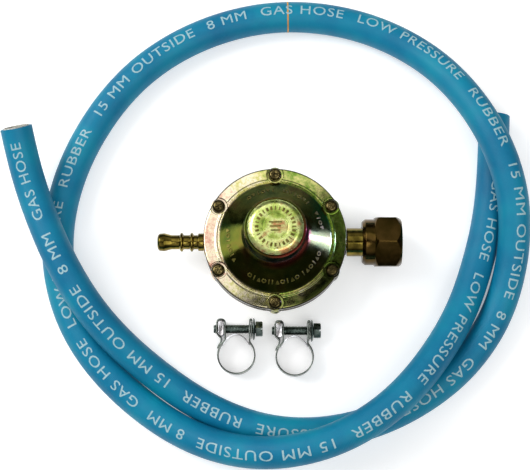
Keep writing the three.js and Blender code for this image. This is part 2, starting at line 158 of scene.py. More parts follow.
def shade(obj, angle):
    obj.data.shade_smooth()
    obj.data.set_sharp_from_angle(angle=math.radians(angle))


def freeze(obj):
    """Applies the object's modifiers to its mesh."""
    bpy.context.view_layer.update()
    evaluated = obj.evaluated_get(bpy.context.evaluated_depsgraph_get())
    mesh = bpy.data.meshes.new_from_object(evaluated)
    old = obj.data
    obj.modifiers.clear()
    obj.data = mesh
    bpy.data.meshes.remove(old)


def combine(target, tools, operation):
    """Adds, cuts away or intersects the tools, which are used up."""
    for tool in tools:
        modifier = target.modifiers.new("combine", "BOOLEAN")
        modifier.operation = operation
        modifier.solver = "EXACT"
        modifier.object = tool
        freeze(target)
        tidy(target.data)
        bpy.data.objects.remove(tool)
    return target


def cut(target, *tools):
    return combine(target, tools, "DIFFERENCE")


def soften(obj, width, segments=2, angle=30, smooth=50):
    """Rounds the edges that are sharper than angle."""
    modifier = obj.modifiers.new("edges", "BEVEL")
    modifier.width = width * MM
    modifier.segments = segments
    modifier.limit_method = "ANGLE"
    modifier.angle_limit = math.radians(angle)
    modifier.use_clamp_overlap = True
    freeze(obj)
    shade(obj, smooth)
    return obj


def rounded(outline, steps=4):
    """The points of an outline of (a, b) or (a, b, radius) corners, with those radii as arcs.

    An open line works too, as long as its two end points have no radius.
    """
    points = []
    for i, corner in enumerate(outline):
        here = Vector(corner[:2])
        before = Vector(outline[i - 1][:2]) - here
        after = Vector(outline[(i + 1) % len(outline)][:2]) - here
        if len(corner) < 3:
            points.append(here)
            continue
        half = before.angle(after) / 2
        reach = min(corner[2] / math.tan(half), 0.49 * before.length, 0.49 * after.length)
        radius = reach * math.tan(half)
        start = here + before.normalized() * reach
        end = here + after.normalized() * reach
        centre = here + (before.normalized() + after.normalized()).normalized() * (reach / math.cos(half))
        first = math.atan2(*(start - centre).yx)
        sweep = (math.atan2(*(end - centre).yx) - first + math.pi) % math.tau - math.pi
        for k in range(steps + 1):
            angle = first + sweep * k / steps
            points.append(centre + radius * Vector((math.cos(angle), math.sin(angle))))
    return points


def grid_faces(rows, columns, wrap_rows=True):
    """Faces between rows of points, each row a closed ring of columns points."""
    faces = []
    for i in range(rows if wrap_rows else rows - 1):
        row = i * columns
        below = (i + 1) % rows * columns
        for k in range(columns):
            following = (k + 1) % columns
            faces.append((row + k, row + following, below + following, below + k))
    return faces


def capped_faces(rows, columns):
    """Faces of a solid that is closed at its first and its last row of points."""
    caps = [tuple(range(columns)), tuple(range((rows - 1) * columns, rows * columns))]
    return grid_faces(rows, columns, wrap_rows=False) + caps


def lathe(name, outline, sides=96, along_x=False, smooth=35):
    """Revolves a closed outline: (radius, z) corners about Z, or (x, radius) corners about the port axis."""
    profile = rounded(outline)
    points = []
    for a, b in profile:
        for k in range(sides):
            angle = math.tau * k / sides
            c, s = math.cos(angle), math.sin(angle)
            points.append((a, b * c, PORT_Z + b * s) if along_x else (a * c, a * s, b))
    return build(name, points, grid_faces(len(profile), sides), smooth)


def extrude(name, outline, low, high):
    """A plate of constant outline in X and Y."""
    profile = rounded(outline)
    count = len(profile)
    points = [(p.x, p.y, z) for z in (low, high) for p in profile]
    caps = [tuple(reversed(range(count))), tuple(range(count, 2 * count))]
    return build(name, points, caps + grid_faces(2, count, wrap_rows=False))


def box(name, low, high, edge=0.0):
    (x0, y0, z0), (x1, y1, z1) = low, high
    block = extrude(name, [(x0, y0), (x1, y0), (x1, y1), (x0, y1)], z0, z1)
    return soften(block, edge) if edge else block


def rod(name, radius, low, high):
    return lathe(name, [(0, low), (radius, low), (radius, high), (0, high)], 24)


def port_rod(name, radius, start, end, sides=32):
    """A rod along the port axis."""
    return lathe(name, [(start, 0), (start, radius), (end, radius), (end, 0)], sides, along_x=True)


def hexagon(across_flats, corner_radius):
    reach = across_flats / math.sqrt(3)
    angles = [math.radians(60 * i) for i in range(6)]
    return [(reach * math.cos(a), reach * math.sin(a), corner_radius) for a in angles]


def thread(name, inner, outer, pitch, start, end, sides, hand=1):
    """A solid rod along X, about y = 0 and z = 0, with a helical thread that fades out at both ends."""
    per_turn = 8
    rings = int(abs(end - start) / pitch * per_turn)
    points = []
    for i in range(rings + 1):
        x = start + (end - start) * i / rings
        fade = min(1, i / per_turn, (rings - i) / per_turn)
        for k in range(sides):
            turn = k / sides
            ridge = 1 - abs(2 * ((x / pitch - hand * turn) % 1) - 1)
            radius = inner + (outer - inner) * min(1, 1.35 * ridge) * fade
            points.append((x, radius * math.cos(math.tau * turn), radius * math.sin(math.tau * turn)))
    return build(name, points, capped_faces(rings + 1, sides), smooth=60)


def moved(obj, matrix):
    """Moves the mesh, not the object, by a matrix in metres."""
    obj.data.transform(matrix)
    obj.data.update()
    return obj


def shifted(obj, x=0, y=0, z=0):
    return moved(obj, Matrix.Translation(Vector((x, y, z)) * MM))


def joined(name, objects):
    """One mesh of several closed ones that don't touch."""
    work = bmesh.new()
    for obj in objects:
        work.from_mesh(obj.data)
        bpy.data.objects.remove(obj)
    result = from_work(name, work)
    shade(result, 35)
    return result


def piece(obj, body, material, slot, *replaced):
    """Gives a finished mesh its material and its body, and hides the CAD nodes that it stands for. Its slot
    is not used.
    """
    obj.data.materials.clear()
    obj.data.materials.append(material)
    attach(obj, body)
    if replaced:
        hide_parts(*replaced)
    return obj


# ---- material helpers


def tone(red, green, blue):
    """A colour from its usual 0 to 255 screen values."""
    linear = [((v / 255 + 0.055) / 1.055) ** 2.4 if v > 10 else v / 3295 for v in (red, green, blue)]
    return (*linear, 1.0)


def fill_ramp(node, stops):
    """Gives a colour ramp its (position, colour) stops."""
    elements = node.color_ramp.elements
    while len(elements) < len(stops):
        elements.new(0.5)
    for element, (position, colour) in zip(elements, stops):
        element.position = position
        element.color = colour


class Finish:
    """A Principled material and the few nodes that the finishes below are made of."""

    def __init__(self, name, metallic=1.0):
        self.material = bpy.data.materials.new(name)
        self.material.use_nodes = True
        self.tree = self.material.node_tree
        self.shader = self.tree.nodes["Principled BSDF"]
        self.set("Metallic", metallic)

    def put(self, socket, value):
        if isinstance(value, bpy.types.NodeSocket):
            self.tree.links.new(value, socket)
        else:
            socket.default_value = value

    def set(self, label, value):
        self.put(self.shader.inputs[label], value)

    def node(self, kind, sockets, **settings):
        made = self.tree.nodes.new("ShaderNode" + kind)
        for key, value in settings.items():
            setattr(made, key, value)
        for key, value in sockets.items():
            self.put(made.inputs[key], value)
        return made

    def place(self, stretch=(1, 1, 1)):
        """Where a point is, in millimetres times stretch."""
        source = self.node("TexCoord", {}).outputs["Object"]
        scale = [s / MM for s in stretch]
        return self.node("Mapping", {"Vector": source, "Scale": scale}).outputs[0]

    def noise(self, size, detail, vector=None):
        """Noise from 0 to 1 with features about size millimetres across."""
        sockets = {"Vector": vector or self.place(), "Scale": 1 / size, "Detail": detail}
        return self.node("TexNoise", sockets).outputs["Fac"]

    def math(self, operation, a, b=0.0):
        return self.node("Math", {0: a, 1: b}, operation=operation).outputs[0]

    def span(self, value, low, high, to_low=0.0, to_high=1.0, shape="LINEAR"):
        """Maps low..high to to_low..to_high, held at the ends."""
        sockets = {"Value": value, "From Min": low, "From Max": high, "To Min": to_low, "To Max": to_high}
        return self.node("MapRange", sockets, interpolation_type=shape).outputs[0]

    def ramp(self, factor, stops):
        made = self.node("ValToRGB", {"Fac": factor})
        fill_ramp(made, stops)
        return made.outputs["Color"]

    def mix(self, factor, a, b):
        made = self.node("Mix", {}, data_type="RGBA")
        for index, value in ((0, factor), (6, a), (7, b)):
            self.put(made.inputs[index], value)
        return made.outputs[2]

    def axis(self, name, vector=None):
        return self.node("SeparateXYZ", {0: vector or self.place()}).outputs[name]

    def from_axis(self):
        """How far a point is from the vertical through the origin."""
        squares = [self.math("POWER", self.axis(name), 2.0) for name in "XY"]
        return self.math("SQRT", self.math("ADD", *squares))

    def bump(self, height, depth, normal=None):
        """Bump whose height runs over depth millimetres."""
        sockets = {"Height": height, "Distance": depth * MM, "Strength": 1.0}
        if normal:
            sockets["Normal"] = normal
        return self.node("Bump", sockets).outputs["Normal"]

    def cloudy(self, size, detail, stops):
        """Gives the base colour clouds about size millimetres across."""
        self.set("Base Color", self.ramp(self.noise(size, detail), stops))

    def grainy(self, size, detail, depth):
        """Gives the surface bumps about size millimetres across."""
        self.set("Normal", self.bump(self.noise(size, detail), depth))

    def uneven(self, size, detail, low, high, spread=0.2):
        """Gives the roughness patches about size millimetres across."""
        patches = self.noise(size, detail)
        self.set("Roughness", self.span(patches, 0.5 - spread, 0.5 + spread, low, high))


# ---- materials

# Film colours of the passivated zinc. CREAM also stands in for the painted glare at the flange's left.
PINK = tone(222, 168, 146)
CREAM = tone(244, 232, 200)
STRAW = tone(206, 200, 126)
GREEN = tone(120, 152, 58)
OLIVE = tone(92, 90, 38)
GOLD = tone(150, 116, 52)
MAROON = tone(84, 34, 26)


def passivated_casting():
    """Zinc casting under a yellow film: cream to green across the flange and dark olive on the dome. These
    are partly the film's own colour and partly painted reflection: pale glare at the flange's left, a near
    black lower right and a darker dome where they mirror dark surroundings, and a maroon tint at the turret's
    foot.
    """
    look = Finish("passivated_casting")
    x, y = look.axis("X"), look.axis("Y")
    # Partly the film's own colour and partly painted reflection: the film drifts from pink and cream at the
    # flange's left, where it stands in for the glare of the lights at the left, to green and olive at its
    # right.
    slant = look.math("ADD", x, look.math("MULTIPLY", y, 0.2))
    film_and_glare_drift = look.span(slant, -34, 34, -0.26, 0.24)
    film = look.math("ADD", look.span(look.noise(15, 3), 0.2, 0.8, 0.3, 0.7), film_and_glare_drift)
    film = look.math("ADD", film, look.span(look.noise(1.6, 4), 0.2, 0.8, -0.14, 0.14))
    flange_film_and_reflection = look.ramp(film, [(0.16, PINK), (0.32, CREAM), (0.48, STRAW), (0.68, GREEN), (0.86, OLIVE)])
    # Painted reflection: the flange's lower right is darkened to near black, standing in for the dark
    # surroundings that it mirrors.
    lower_right = look.math("SUBTRACT", x, y)
    flange_film_and_reflection = look.mix(look.span(lower_right, 30, 43), flange_film_and_reflection, tone(36, 42, 16))
    # The dome's darker film is partly its own colour and partly painted reflection of the dark surroundings
    # that the sloped dome mirrors; the flat flange takes the paler film above.
    stops = [(0.3, tone(52, 66, 24)), (0.52, tone(76, 80, 28)), (0.66, tone(86, 74, 32)), (0.8, MAROON)]
    dark = look.ramp(look.noise(9, 3), stops)
    radius = look.from_axis()
    # Painted reflection: a maroon tint on the turret wall and the top of the dome, on their lower right side.
    wall = look.span(radius, TURRET_R + 3, TURRET_R + 1)
    maroon_reflection = look.math("MULTIPLY", wall, look.span(lower_right, 3, 15))
    dark = look.mix(maroon_reflection, dark, tone(96, 40, 30))
    flat = look.span(radius, DOME_LOW[0] - 0.6, DOME_LOW[0] + 0.4)
    rim = look.span(radius, FLANGE_R - 0.7, FLANGE_R - 0.2)
    on_lobe = look.span(radius, FLANGE_R + 0.1, FLANGE_R + 0.3, 1, 0)
    film = look.mix(flat, dark, flange_film_and_reflection)
    look.set("Base Color", look.mix(look.math("MULTIPLY", rim, on_lobe), film, tone(52, 44, 26)))
    look.uneven(4, 4, 0.1, 0.2, spread=0.15)
    skin = look.bump(look.noise(0.8, 3), 0.01)
    look.set("Normal", look.bump(look.noise(7, 2), 0.06, skin))
    return look.material


def worn_marks():
    """The same casting where raised marks have rubbed, so the film is thin and paler."""
    look = Finish("worn_marks")
    look.cloudy(3, 3, [(0.35, tone(90, 84, 38)), (0.65, tone(130, 120, 64))])
    look.uneven(1, 3, 0.36, 0.5)
    look.grainy(0.6, 2, 0.02)
    return look.material


def passivated_cap():
    """Pressed cap: mottled yellow green, with tan patches that grow towards its lower edge."""
    look = Finish("passivated_cap")
    lean = look.span(look.axis("Y"), -13, 13, 0.14, -0.08)
    film = look.math("ADD", look.noise(6, 3), lean)
    stops = [
        (0.3, tone(134, 158, 66)),
        (0.42, tone(194, 214, 106)),
        (0.56, tone(240, 250, 164)),
        (0.7, tone(204, 150, 98)),
    ]
    speckle = look.span(look.noise(1.1, 4), 0.55, 0.7)
    look.set("Base Color", look.mix(look.math("MULTIPLY", speckle, 0.5), look.ramp(film, stops), GOLD))
    look.uneven(2, 4, 0.22, 0.36, spread=0.15)
    look.grainy(0.7, 3, 0.02)
    return look.material


def turned_metal(name, dark, light, roughness, line_pitch):
    """Turned bar about X: fine tool marks round it, and a film that wanders between two colours."""
    look = Finish(name)
    look.cloudy(5, 4, [(0.34, dark), (0.66, light)])
    look.uneven(2.5, 3, roughness - 0.06, roughness + 0.08)
    marks = look.noise(line_pitch, 2, look.place((1, 0.02, 0.02)))
    look.set("Normal", look.bump(marks, 0.006))
    return look.material


def plated_steel(name, dark, light, roughness=0.24):
    """Zinc plated steel strip with faint rolling lines and a cloudy film."""
    look = Finish(name)
    look.cloudy(3, 4, [(0.35, dark), (0.62, light)])
    look.uneven(1.4, 4, roughness - 0.07, roughness + 0.1)
    look.set("Normal", look.bump(look.noise(0.35, 2, look.place((1, 1, 0.06))), 0.006))
    return look.material


def moulded(name, colour, roughness, depth=0.01):
    """Rubber or plastic with a fine moulded grain."""
    look = Finish(name, metallic=0.0)
    darker = tuple(0.6 * c for c in colour[:3]) + (1.0,)
    look.set("Base Color", look.mix(look.span(look.noise(4, 4), 0.4, 0.7), colour, darker))
    look.uneven(1.5, 3, roughness - 0.06, roughness + 0.08)
    look.grainy(0.4, 3, depth)
    return look.material


HOSE_UV = "wrap"  # u runs along the hose and v round it, both in millimetres
WEAVE = 4.6  # radians of the cloth's pattern in a millimetre


def hose_rubber():
    """Blue rubber cured in a cloth wrap, which leaves a fine weave and soft cloudy patches."""
    look = Finish("hose_rubber", metallic=0.0)
    wrap = look.node("UVMap", {}, uv_map=HOSE_UV).outputs[0]
    along = look.axis("X", wrap)
    round_it = look.axis("Y", wrap)
    threads = []
    for direction in (WEAVE, -WEAVE):
        lead = look.math("MULTIPLY", along, WEAVE)
        slant = look.math("ADD", lead, look.math("MULTIPLY", round_it, direction))
        threads.append(look.math("SINE", slant))
    cloth = look.math("MULTIPLY", *threads)
    stops = [(0.3, tone(4, 104, 142)), (0.5, tone(6, 118, 152)), (0.7, tone(8, 134, 160))]
    patches = look.ramp(look.noise(24, 3), stops)
    dust = look.math("MULTIPLY", look.span(look.noise(1.2, 5), 0.55, 0.8), 0.2)
    look.set("Base Color", look.mix(dust, patches, tone(24, 138, 168)))
    look.uneven(3, 4, 0.42, 0.56)
    look.set("Specular IOR Level", 0.22)
    look.set("Normal", look.bump(cloth, 0.02, look.bump(look.noise(1.6, 3), 0.03)))
    return look.material


def cloth_braid():
    """Undyed textile reinforcement between the hose's cover and its liner."""
    look = Finish("cloth_braid", metallic=0.0)
    look.cloudy(0.5, 3, [(0.35, tone(150, 146, 134)), (0.65, tone(226, 222, 208))])
    look.uneven(0.8, 2, 0.75, 0.95)
    look.grainy(0.35, 2, 0.1)
    return look.material


def print_ink():
    """White ink, thin enough in places for the blue to show."""
    look = Finish("print_ink", metallic=0.0)
    wear = look.span(look.noise(0.9, 4), 0.52, 0.7, 0, 0.6)
    look.set("Base Color", look.mix(wear, tone(150, 184, 190), tone(70, 150, 176)))
    look.uneven(1.5, 2, 0.45, 0.6)
    look.grainy(0.5, 2, 0.02)
    return look.material


CASTING = passivated_casting()
CAP_ZINC = passivated_cap()
WORN_MARKS = worn_marks()
TURNED_ZINC = turned_metal("turned_zinc", tone(74, 64, 22), tone(140, 122, 54), 0.14, 0.5)
NUT_BRASS = turned_metal("nut_brass", tone(62, 50, 18), tone(88, 68, 32), 0.16, 0.6)
INNER_BRASS = turned_metal("inner_brass", tone(170, 134, 62), tone(206, 170, 92), 0.26, 0.5)
BRIGHT_STEEL = plated_steel("bright_steel", tone(168, 164, 164), tone(222, 224, 228))
STRAP_STEEL = plated_steel("strap_steel", tone(70, 76, 72), tone(112, 118, 112))
GREEN_STEEL = plated_steel("green_steel", tone(64, 76, 70), tone(112, 124, 118), 0.3)
SCREW_BRONZE = plated_steel("screw_bronze", tone(40, 36, 18), tone(104, 92, 56), 0.2)
RUBBER_BLACK = moulded("rubber_black", tone(34, 34, 36), 0.6)
ADJUSTER = moulded("adjuster_plastic", tone(222, 216, 202), 0.45)
HOSE_RUBBER = hose_rubber()
LINER_RUBBER = moulded("liner_rubber", tone(40, 42, 44), 0.62)
BRAID = cloth_braid()
INK = print_ink()
MARK_INK = moulded("mark_ink", tone(214, 150, 30), 0.5, depth=0.004)


# ---- camera, floor and lights

VIEW_ELEVATION = math.radians(78)
VIEW_DISTANCE = 0.71
VIEW_TARGET = Vector((-0.0047, 0.0067, 0))
VIEW_LENS = 99.6  # millimetres, on a 36 mm sensor


def make_camera():
    data = bpy.data.cameras.new("camera")
    data.sensor_width = 36
    data.lens = VIEW_LENS
    data.clip_start = 0.05
    camera = new_object("camera", data)
    back = Vector((0, -math.cos(VIEW_ELEVATION), math.sin(VIEW_ELEVATION)))
    camera.location = VIEW_TARGET + VIEW_DISTANCE * back
    camera.rotation_euler = (-back).to_track_quat("-Z", "Y").to_euler()
    bpy.context.scene.camera = camera


FLOOR_HALF = 1500
FLOOR_FALLS_OFF = (190, 560)  # distances from the origin
FLOOR_GLOW = 0.36
FLOOR_FAR = (0.22, 0.22, 0.22, 1)


def make_floor():
    """White paper, falling off to grey beyond the picture so that the dome has something dark to mirror."""
    look = Finish("floor_paper", metallic=0.0)
    near = look.span(look.from_axis(), *reversed(FLOOR_FALLS_OFF), shape="SMOOTHSTEP")
    grain = look.ramp(look.noise(60, 3), [(0.3, (0.82, 0.82, 0.82, 1)), (0.7, (0.85, 0.85, 0.85, 1))])
    look.set("Base Color", look.mix(near, FLOOR_FAR, grain))
    look.uneven(5, 2, 0.8, 0.9)
    look.set("Emission Color", (1, 1, 1, 1))
    look.set("Emission Strength", look.math("MULTIPLY", near, FLOOR_GLOW))
    corners = [(x * FLOOR_HALF, y * FLOOR_HALF, 0) for x, y in ((-1, -1), (1, -1), (1, 1), (-1, 1))]
    floor = build("floor", corners, [(0, 1, 2, 3)])
    floor.data.materials.append(look.material)


def softbox(name, place, size, radiance, aim=None, turn=0, colour=(1, 1, 1)):
    """A rectangular light that the camera can't see: aimed at a point, or straight down and turned."""
    data = bpy.data.lights.new(name, "AREA")
    data.shape = "RECTANGLE"
    data.size, data.size_y = size
    data.energy = radiance * math.pi * size[0] * size[1]
    data.color = colour
    light = new_object(name, data)
    light.location = place
    light.rotation_euler = Euler((0, 0, math.radians(turn)))
    if aim:
        light.rotation_euler = (Vector(aim) - Vector(place)).to_track_quat("-Z", "Y").to_euler()
    light.visible_camera = False
    return light


# Brightness of the studio against the height of the direction, from straight down at 0 to straight up at 1.
STUDIO_SKY = ((0.3, 0.06), (0.55, 0.5), (0.86, 0.5), (0.95, 0.05))


def make_lights():
    """The overhead box ends just where the flange would mirror it at its lower right."""
    softbox("overhead", (-0.168, 0.362, 1.1), (0.8, 0.5), 1.05, turn=55)
    softbox("key", (-1.0, 0.45, 0.95), (0.9, 0.9), 6.0, aim=(0, 0, 0))
    softbox("fill", (0.5, -0.6, 1.5), (1.2, 1.2), 2.6, aim=(0, 0, 0))
    world = bpy.data.worlds.new("studio")
    world.use_nodes = True
    tree = world.node_tree
    direction = tree.nodes.new("ShaderNodeTexCoord")
    split = tree.nodes.new("ShaderNodeSeparateXYZ")
    ramp = tree.nodes.new("ShaderNodeValToRGB")
    fill_ramp(ramp, [(height, (grey, grey, grey, 1)) for height, grey in STUDIO_SKY])
    tree.links.new(direction.outputs["Generated"], split.inputs[0])
    tree.links.new(split.outputs["Z"], ramp.inputs["Fac"])
    tree.links.new(ramp.outputs["Color"], tree.nodes["Background"].inputs["Color"])
    bpy.context.scene.world = world


def streak_dome(lit):
    """Low cards that light only the cover: a soft-sided white streak at its right and a glow at its left."""
    only = bpy.data.collections.new("cover_only")
    for obj in lit:
        only.objects.link(obj)
    middle = (0, 0, 0.03)
    right = (0.6, 0.075, 0.12)
    bluish = (0.22, 0.23, 1.0)  # against the yellow film it comes out white
    cards = [
        softbox("dome_streak", right, (0.07, 0.09), 190, middle, colour=bluish),
        softbox("dome_streak_side", right, (0.2, 0.11), 44, middle, colour=bluish),
        softbox("dome_glow", (-0.6, 0.08, 0.14), (0.4, 0.2), 3.2, middle),
    ]
    for card in cards:
        card.light_linking.receiver_collection = only


bpy.context.scene.view_settings.view_transform = "Standard"
make_camera()
make_floor()
make_lights()

# ---- gas hose

# Control points of the hose's centreline, as in the CAD model, from end A to end B.
HOSE_POINTS = [
    (-121.5, 51.5, 32),
    (-117.5, 32, 24),
    (-110, 11, 23.5),
    (-100, -11.5, 24.5),
    (-86.5, -33.5, 21),
    (-70, -51, 15.5),
    (-51, -66, 10.5),
    (-31, -79, 8),
    (-4, -89.5, 7.5),
    (27, -90, 7.5),
    (56.5, -81, 7.5),
    (82, -64.5, 7.5),
    (97.5, -47, 7.5),
    (107.5, -29, 8),
    (113, -7, 14),
    (113.5, 15.5, 21),
    (109, 37, 24),
    (99.5, 59, 23.5),
    (85, 82, 17),
    (64.5, 101, 9.5),
    (36, 113.5, 7.5),
    (0.5, 117, 7.5),
    (-35, 108, 7.5),
    (-66, 89, 7.5),
    (-87.5, 61.5, 7.5),
    (-101.5, 30, 7.5),
    (-105.5, -2.5, 7.5),
    (-98.5, -33.5, 7.5),
    (-82.5, -58.5, 7.5),
    (-60.5, -78.5, 7.5),
    (-38, -92.5, 10.5),
    (-12.5, -100, 18.5),
    (12.5, -98.5, 23.5),
    (35.5, -90.5, 24),
    (56.5, -76, 23.5),
    (73, -57, 19.5),
    (87.5, -34.5, 12.5),
    (96.5, -10.5, 8),
    (104.5, 19, 7.5),
    (107, 64, 7.5),
]
HOSE_ROUTE = [tuple(c / 1000 for c in point) for point in HOSE_POINTS]  # in metres
HOSE_STEP = 2.0
COVER_BORE_R = 6.1
LINER_R = 5.3


class Route:
    """A uniform cubic B-spline through the ends of the route, measured in millimetres along its length."""

    def __init__(self, points):
        inner = np.array(points) / MM
        knots = np.vstack([2 * inner[0] - inner[1], inner, 2 * inner[-1] - inner[-2]])
        u = np.linspace(0, 1, 40, endpoint=False)[:, None]
        weights = [(1 - u) ** 3, 3 * u**3 - 6 * u**2 + 4, -3 * u**3 + 3 * u**2 + 3 * u + 1, u**3]
        spans = [sum(w * knots[i + k] for k, w in enumerate(weights)) / 6 for i in range(len(knots) - 3)]
        self.line = np.vstack([*spans, inner[-1:]])
        self.along = np.concatenate([[0], np.cumsum(np.linalg.norm(np.diff(self.line, axis=0), axis=1))])
        self.length = self.along[-1]

    def at(self, distance):
        return Vector([np.interp(distance, self.along, self.line[:, i]) for i in range(3)])

    def axes(self, distance):
        """The directions along, sideways and upwards from the hose."""
        a = min(max(distance, 0.5), self.length - 0.5)
        ahead = (self.at(a + 0.5) - self.at(a - 0.5)).normalized()
        side = ahead.cross(UP).normalized()
        return ahead, side, side.cross(ahead)

    def surface(self, distance, angle, radius):
        """A point at an angle round the hose from its top, and that far from its centreline."""
        ahead, side, up = self.axes(distance)
        beyond = distance - min(max(distance, 0), self.length)
        return self.at(distance) + ahead * beyond + radius * (math.sin(angle) * side + math.cos(angle) * up)


route = Route(HOSE_ROUTE)


def tube(name, outer, inner, start, end, step, sides):
    """A length of thick walled tube along the route, with its wrap UVs."""
    rings = max(2, round((end - start) / step) + 1)
    stations = [start + (end - start) * i / (rings - 1) for i in range(rings)]
    wall = [(s, outer) for s in stations] + [(s, inner) for s in reversed(stations)]
    points = []
    for distance, radius in wall:
        points += [route.surface(distance, math.tau * k / sides, radius) for k in range(sides)]
    obj = build(name, points, grid_faces(len(wall), sides), smooth=50)
    layer = obj.data.uv_layers.new(name=HOSE_UV)
    for polygon in obj.data.polygons:
        seam = any(vertex % sides == sides - 1 for vertex in polygon.vertices)
        for loop in polygon.loop_indices:
            row, column = divmod(obj.data.loops[loop].vertex_index, sides)
            if column == 0 and seam:
                column = sides
            layer.data[loop].uv = (wall[row][0], math.tau * outer * column / sides)
    return obj


LEGEND = ["8 MM", "GAS HOSE", "LOW PRESSURE", "RUBBER", "15 MM OUTSIDE"]
LETTER_HEIGHT = 5.0
LETTER_STRETCH = 1.2
LETTER_CUTS = (2, 0.65)  # steps along and across the hose at which the letters are cut to bend
LEGEND_GAP = 7.0
LEGEND_START = 6.0  # from end B
LEGEND_MARGIN = 4  # from end A
LEGEND_TURN = -0.22  # radians that the print lies from the top of the hose
CAPITAL_SHARE = 0.73  # height of the built-in font's capitals against its size
INK_T = 0.06
MARK_X = 6.4  # where the orange line crosses the far side of the hose's loop
MARK_HALF = 0.35


def flat_words(text):
    """A text's letters as a flat mesh from x = 0, cut finely enough to bend round the hose."""
    data = bpy.data.curves.new("words", "FONT")
    data.body = text
    data.size = LETTER_HEIGHT / CAPITAL_SHARE
    data.space_character = 1.1
    data.resolution_u = 3
    holder = new_object("words", data)
    bpy.context.view_layer.update()
    mesh = bpy.data.meshes.new_from_object(holder.evaluated_get(bpy.context.evaluated_depsgraph_get()))
    bpy.data.objects.remove(holder)
    work = bmesh.new()
    work.from_mesh(mesh)
    bpy.data.meshes.remove(mesh)
    bmesh.ops.remove_doubles(work, verts=work.verts, dist=1e-5)
    bmesh.ops.scale(work, vec=(LETTER_STRETCH, 1, 1), verts=work.verts)
    width = max(v.co.x for v in work.verts)
    cuts = [((0, y, 0), (0, 1, 0)) for y in np.arange(LETTER_CUTS[1], LETTER_HEIGHT, LETTER_CUTS[1])]
    cuts += [((x, 0, 0), (1, 0, 0)) for x in np.arange(LETTER_CUTS[0], width, LETTER_CUTS[0])]
    for place, normal in cuts:
        everything = work.verts[:] + work.edges[:] + work.faces[:]
        bmesh.ops.bisect_plane(work, geom=everything, plane_co=place, plane_no=normal)
    return work, width


def hose_print():
    """The legend, again and again from end B to end A, raised by the thickness of its ink."""
    merged = bmesh.new()
    start = LEGEND_START
    for text in itertools.cycle(LEGEND):
        work, width = flat_words(text)
        if start + width > route.length - LEGEND_MARGIN:
            work.free()
            break
        layers = {}
        for height in (-INK_T, INK_T):
            for vert in work.verts:
                distance = route.length - start - vert.co.x
                wander = 0.1 * math.sin(distance / 83) + LEGEND_TURN
                angle = wander - (vert.co.y - LETTER_HEIGHT / 2) / HOSE_R
                point = route.surface(distance, -angle, HOSE_R + height) * MM
                layers[vert.index, height] = merged.verts.new(point)
        work.verts.index_update()
        for face in work.faces:
            corners = [v.index for v in face.verts]
            merged.faces.new([layers[i, INK_T] for i in corners])
            merged.faces.new([layers[i, -INK_T] for i in reversed(corners)])
        for edge in work.edges:
            if len(edge.link_faces) == 1:
                a, b = (v.index for v in edge.verts)
                merged.faces.new([layers[a, INK_T], layers[b, INK_T], layers[b, -INK_T], layers[a, -INK_T]])
        work.free()
        start += width + LEGEND_GAP
    bmesh.ops.recalc_face_normals(merged, faces=merged.faces)
    return from_work("hose_print", merged)


def make_hose():
    cover = tube("hose_cover", HOSE_R, COVER_BORE_R, 0, route.length, HOSE_STEP, 48)
    liner = tube("hose_liner", LINER_R, HOSE_BORE_R, 0.2, route.length - 0.2, 4, 24)
    extras = [liner]
    for name, start, end in (("a", -0.5, 8), ("b", route.length - 8, route.length + 0.5)):
        extras.append(tube(f"hose_braid_{name}", COVER_BORE_R - 0.05, LINER_R + 0.05, start, end, 1.0, 40))
    mark_at = min(np.arange(400, 700, 0.5), key=lambda s: abs(route.at(s).x - MARK_X) - 0.01 * route.at(s).y)
    mark_ends = (mark_at - MARK_HALF, mark_at + MARK_HALF)
    extras.append(tube("hose_mark", HOSE_R + INK_T, HOSE_R - 0.3, *mark_ends, MARK_HALF, 48))
    extras.append(hose_print())
    piece(cover, "hose", HOSE_RUBBER, "hose_rubber", "gas_hose")
    for obj, material in zip(extras, (LINER_RUBBER, BRAID, BRAID, MARK_INK, INK)):
        piece(obj, "hose", material, "hose_rubber")


make_hose()

# ---- regulator castings


SCREW_ANGLES = [math.pi / 2 + math.tau * i / FLANGE_SCREWS for i in range(FLANGE_SCREWS)]


def at_screw(obj, angle):
    return shifted(obj, SCREW_PITCH_R * math.cos(angle), SCREW_PITCH_R * math.sin(angle))


def turned_about_z(obj, angle):
    return moved(obj, Matrix.Rotation(angle, 4, "Z"))


